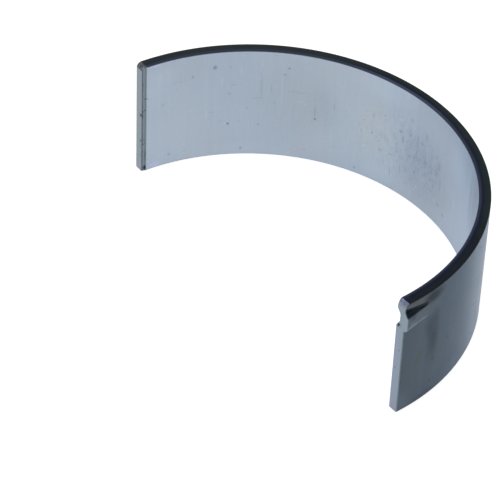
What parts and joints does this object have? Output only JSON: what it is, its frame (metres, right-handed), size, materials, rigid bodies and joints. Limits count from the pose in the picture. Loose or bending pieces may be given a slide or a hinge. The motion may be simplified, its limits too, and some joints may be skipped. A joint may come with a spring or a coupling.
{
  "type": "engine bearing shell",
  "caption": "Plain half shell of a split engine bearing: a thin lined steel strip bent to a half round, with a locating tang punched out at one end.",
  "frame": {"origin": "centre of the bearing: on the bore axis, half way along the shell's width", "axes": "+Z along the bore axis, +Y towards the crown, +X towards the end with the tang, which lies near the upper side face"},
  "size_m": [0.0564, 0.0272, 0.0166],
  "materials": {
    "shell_steel": "satin steel back, matt grey lining in the bore, dark machined side faces"
  },
  "bodies": {
    "root": {"bearing_shell": "shell_steel"}
  },
  "joints": []
}
